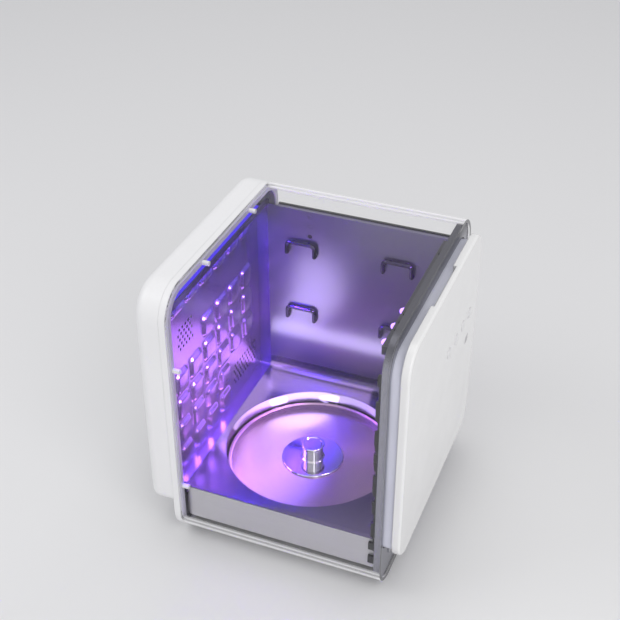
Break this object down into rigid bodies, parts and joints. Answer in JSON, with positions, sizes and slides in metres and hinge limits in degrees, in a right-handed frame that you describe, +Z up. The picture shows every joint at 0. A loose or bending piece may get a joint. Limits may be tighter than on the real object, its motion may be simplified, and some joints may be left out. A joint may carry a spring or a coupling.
{
  "type": "uv sanitizer cabinet",
  "caption": "Countertop UV sanitizing cabinet: clear rounded sleeve, stainless chamber with turntable, drop-down white front door with push buttons, white rear housing.",
  "frame": {"origin": "on the tabletop, below the centre of the bounding box", "axes": "+Z up, the door faces -Y and the service housing +Y, +X to the side of the stainless wall"},
  "size_m": [0.294, 0.2986, 0.3325],
  "materials": {
    "clear_plastic": "clear, polished",
    "white_housing": "satin moulded white",
    "service_white": "fine matt",
    "silver_ring": "silver paint",
    "black_clip": "matt black",
    "base_metal": "satin silver grey",
    "foot_rubber": "matt",
    "stainless": "brushed stainless",
    "embossed_stainless": "embossed stainless",
    "dish_steel": "spun stainless",
    "chrome_hub": "polished",
    "bush_plastic": "natural",
    "zinc": "zinc plated",
    "lamp_case": "matt dark grey",
    "violet_lens": "lit violet",
    "circuit_board": "solder mask",
    "carbon_felt": "felt",
    "white_door": "polished white",
    "pale_frame": "pale blue grey",
    "door_liner": "brushed",
    "seal_rubber": "soft grey",
    "magnet_steel": "nickel plated",
    "plunger_plastic": "satin",
    "smoked_window": "smoked",
    "button_white": "polished white"
  },
  "bodies": {
    "cabinet": {"sleeve": "clear_plastic", "rear_ring": "white_housing", "clamp_ring": "silver_ring", "ring_pegs": "white_housing", "front_ring": "silver_ring", "frame_clips": "black_clip", "base_box": "base_metal", "feet": "foot_rubber", "side_wall": "stainless", "edge_trim": "black_clip", "floor_tray": "stainless", "back_wall": "embossed_stainless", "back_rim": "stainless", "lamp_bar": "lamp_case", "lamp_lenses": "violet_lens", "rear_lamp": "lamp_case", "rear_diffuser": "violet_lens", "bearing_bush": "bush_plastic", "motor": "zinc", "main_board": "circuit_board", "rear_cover": "white_housing", "service_cover": "service_white", "cover_screws": "zinc", "fan_frame": "black_clip", "filter_tray": "service_white", "filter_pad": "carbon_felt", "power_inlet": "black_clip", "inlet_pins": "zinc", "sensor": "black_clip", "hinge_brackets": "zinc", "ring_magnets": "magnet_steel", "switch_body": "black_clip"},
    "door": {"door_panel": "white_door", "door_back": "white_door", "door_frame": "pale_frame", "door_plate": "door_liner", "gasket": "seal_rubber", "hinge_leaves": "zinc", "hinge_pins": "zinc", "door_magnets": "magnet_steel", "control_board": "circuit_board", "status_window": "smoked_window"},
    "turntable": {"dish": "dish_steel", "spindle": "chrome_hub", "drive_shaft": "chrome_hub"},
    "fan": {"fan_rotor": "black_clip"},
    "interlock": {"switch_plunger": "plunger_plastic"},
    "power_button": {"button_power": "button_white"},
    "mode_button": {"button_mode": "button_white"},
    "time_button": {"button_time": "button_white"},
    "light_button": {"button_light": "button_white"}
  },
  "joints": [
    {"name": "door_hinge", "type": "hinge", "parent": "cabinet", "child": "door", "pos_m": [0, -0.1357, 0.0453], "axis": [1, 0, 0], "range_deg": [0, 90]},
    {"name": "turntable_spin", "type": "hinge", "parent": "cabinet", "child": "turntable", "pos_m": [0, 0.00395, 0.05], "axis": [0, 0, 1], "continuous": true},
    {"name": "fan_spin", "type": "hinge", "parent": "cabinet", "child": "fan", "pos_m": [0.0825, 0.136, 0.0875], "axis": [0, 1, 0], "continuous": true},
    {"name": "interlock_slide", "type": "slide", "parent": "cabinet", "child": "interlock", "axis": [0, -1, 0], "range_m": [0, 0.002]},
    {"name": "power_press", "type": "slide", "parent": "door", "child": "power_button", "axis": [0, 1, 0], "range_m": [0, 0.0008], "stiffness_N_per_m": 900, "springref_m": -0.0012},
    {"name": "mode_press", "type": "slide", "parent": "door", "child": "mode_button", "axis": [0, 1, 0], "range_m": [0, 0.0008], "stiffness_N_per_m": 900, "springref_m": -0.0012},
    {"name": "time_press", "type": "slide", "parent": "door", "child": "time_button", "axis": [0, 1, 0], "range_m": [0, 0.0008], "stiffness_N_per_m": 900, "springref_m": -0.0012},
    {"name": "light_press", "type": "slide", "parent": "door", "child": "light_button", "axis": [0, 1, 0], "range_m": [0, 0.0008], "stiffness_N_per_m": 900, "springref_m": -0.0012}
  ],
  "couplings": [
    {"joint": "interlock_slide", "follows": "door_hinge", "m_per_rad": 0.0012732}
  ]
}
